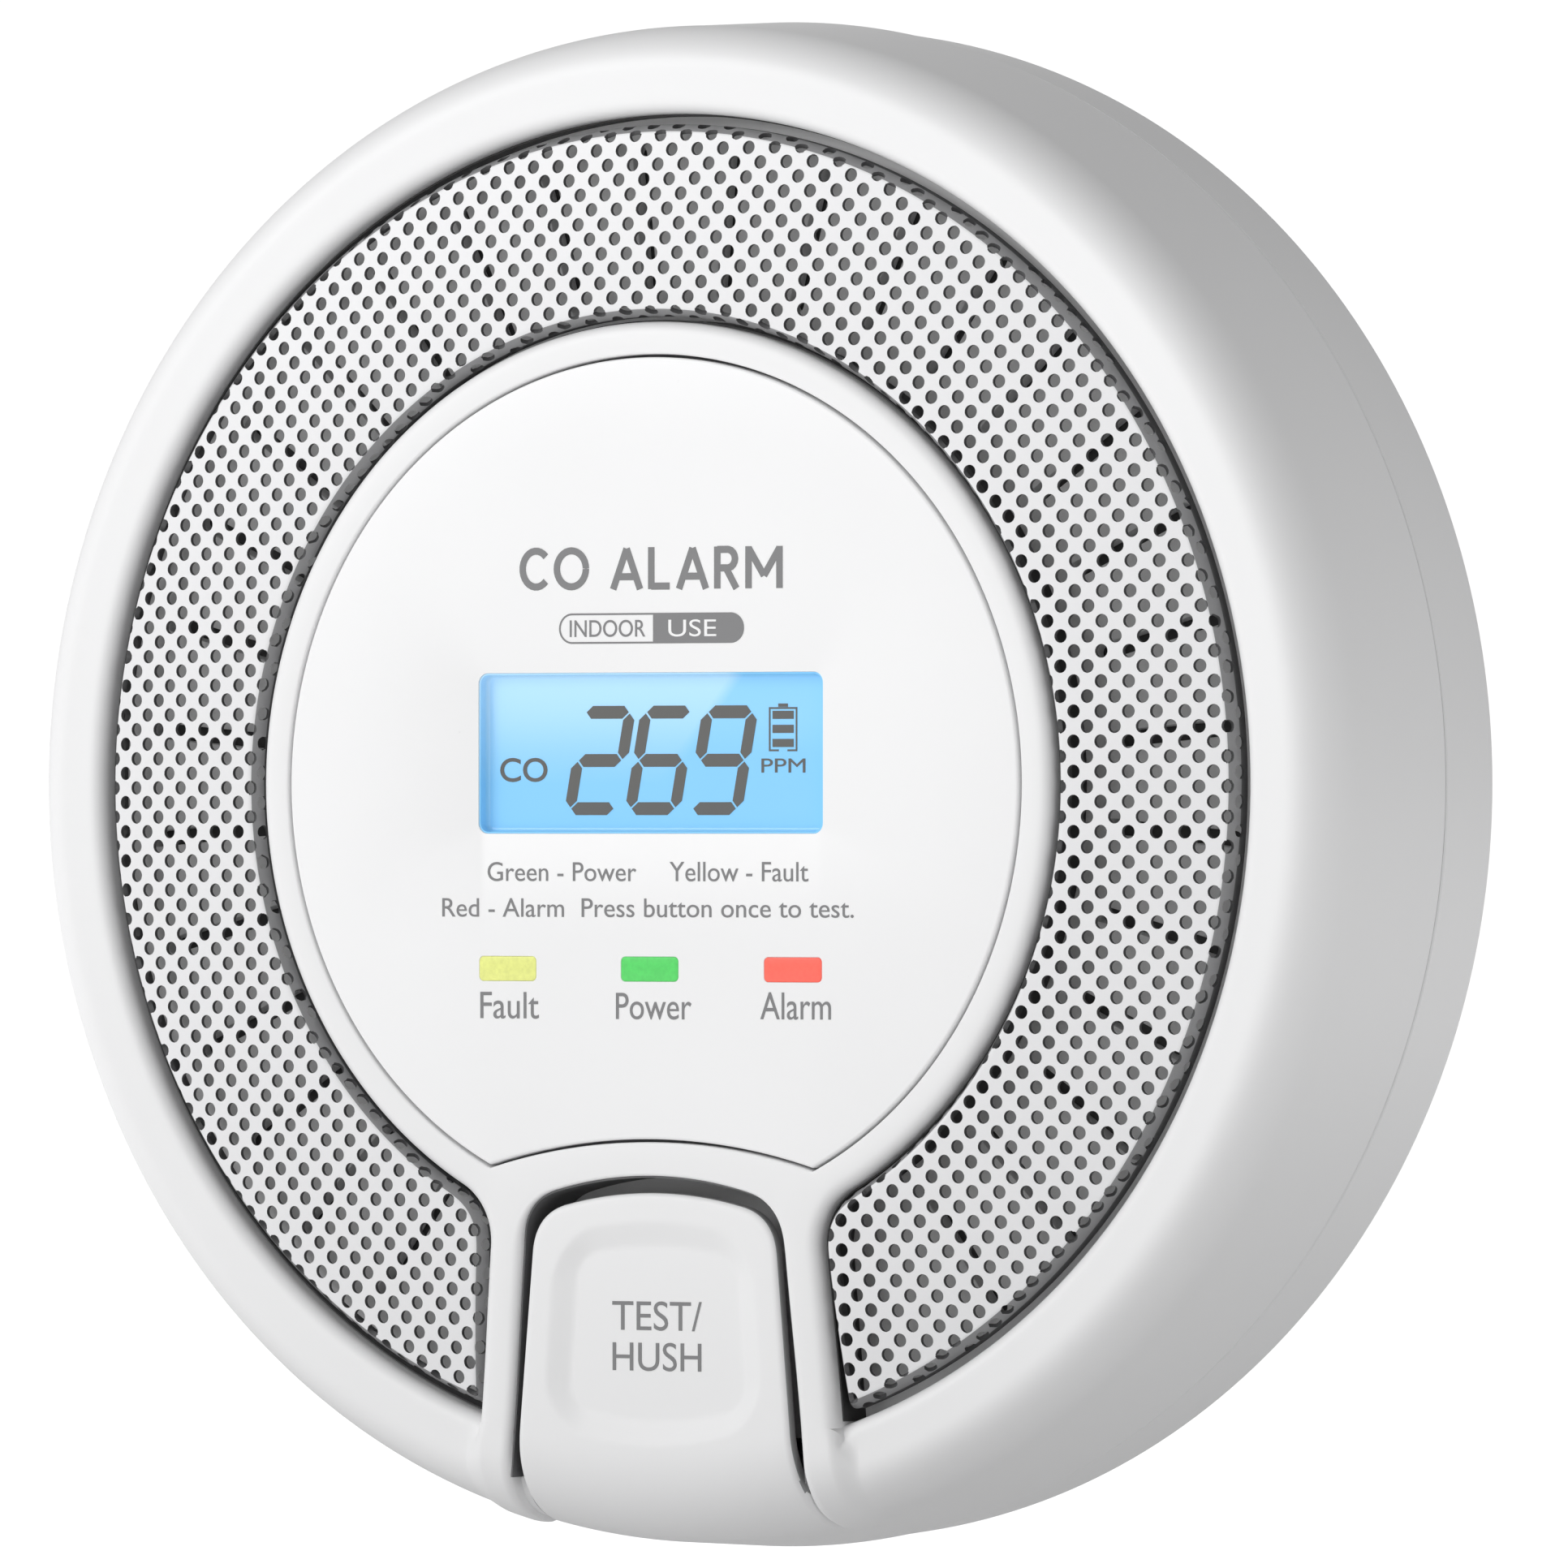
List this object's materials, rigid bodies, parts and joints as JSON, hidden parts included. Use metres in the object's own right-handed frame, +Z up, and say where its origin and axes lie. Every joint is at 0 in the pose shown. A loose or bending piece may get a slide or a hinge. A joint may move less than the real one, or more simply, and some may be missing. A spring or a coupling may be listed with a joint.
{
  "type": "carbon monoxide detector",
  "caption": "Round battery carbon monoxide alarm with domed perforated grille, lit display, indicator lights and a hinged test button, on a twist-off wall bracket.",
  "frame": {"origin": "centre of the wall bracket's back face, on the body's axis, in the wall plane", "axes": "+Z up, the front faces -Y and +Y points into the wall, +X to the viewer's right"},
  "size_m": [0.1102, 0.0351, 0.1102],
  "materials": {
    "cover_plastic": "satin white ABS with a fine grained texture",
    "faceplate_plastic": "smooth white panel with grey printed legend",
    "grille_sheet": "perforated sheet, satin white paint",
    "display_glass": "clear window lit pale blue from behind",
    "lens_yellow": "diffusing yellow indicator window",
    "lens_green": "diffusing green indicator window",
    "lens_red": "diffusing red indicator window",
    "led_package": "moulded LED package",
    "lcd_glass": "liquid crystal panel",
    "light_guide": "edge-lit acrylic light guide",
    "silicone_pink": "elastomeric connector strip",
    "grey_plastic": "moulded grey ABS",
    "board_laminate": "green solder mask over glass-epoxy",
    "sensor_shell": "off-white sensor body",
    "filter_cloth": "carbon filter felt",
    "black_plastic": "black moulded plastic",
    "brass_disc": "bare brass piezo plate",
    "steel": "nickel-plated steel",
    "ferrite": "ferrite core",
    "capacitor_sleeve": "shrink sleeve",
    "battery_wrap": "shrink-wrapped cell"
  },
  "bodies": {
    "bracket": {"mounting_bracket": "cover_plastic"},
    "housing": {"rear_housing": "cover_plastic", "front_cover": "cover_plastic", "grille": "grille_sheet", "faceplate": "faceplate_plastic", "lcd_window": "display_glass", "led_window_yellow": "lens_yellow", "led_yellow": "led_package", "led_window_green": "lens_green", "led_green": "led_package", "led_window_red": "lens_red", "led_red": "led_package", "lcd_panel": "lcd_glass", "lcd_backlight": "light_guide", "zebra_connector": "silicone_pink", "lcd_holder": "grey_plastic", "circuit_board": "board_laminate", "co_sensor": "sensor_shell", "sensor_filter": "filter_cloth", "sounder_chamber": "black_plastic", "piezo_disc": "brass_disc", "tact_switch": "black_plastic", "microcontroller": "black_plastic", "crystal": "steel", "boost_inductor": "ferrite", "capacitor_1": "capacitor_sleeve", "capacitor_2": "capacitor_sleeve", "battery": "battery_wrap", "battery_spring": "steel", "battery_contact": "steel", "housing_screw_1": "steel", "housing_screw_2": "steel", "housing_screw_3": "steel", "housing_screw_4": "steel"},
    "button": {"test_button": "cover_plastic"},
    "plunger": {"switch_plunger": "grey_plastic"},
    "door": {"battery_door": "cover_plastic"}
  },
  "joints": [
    {"name": "housing_twist", "type": "hinge", "parent": "bracket", "child": "housing", "pos_m": [0, 0, 0], "axis": [0, -1, 0], "range_deg": [0, 15]},
    {"name": "button_press", "type": "hinge", "parent": "housing", "child": "button", "pos_m": [0, -0.0274, -0.0494], "axis": [-1, 0, 0], "range_deg": [0, 2], "stiffness_Nm_per_rad": 1.5},
    {"name": "switch_travel", "type": "slide", "parent": "housing", "child": "plunger", "axis": [0, 1, 0], "range_m": [0, 0.0007]},
    {"name": "door_swing", "type": "hinge", "parent": "housing", "child": "door", "pos_m": [0, -0.0071, 0.0222], "axis": [1, 0, 0], "range_deg": [0, 100]}
  ],
  "couplings": [
    {"joint": "switch_travel", "follows": "button_press", "m_per_rad": 0.0134}
  ]
}
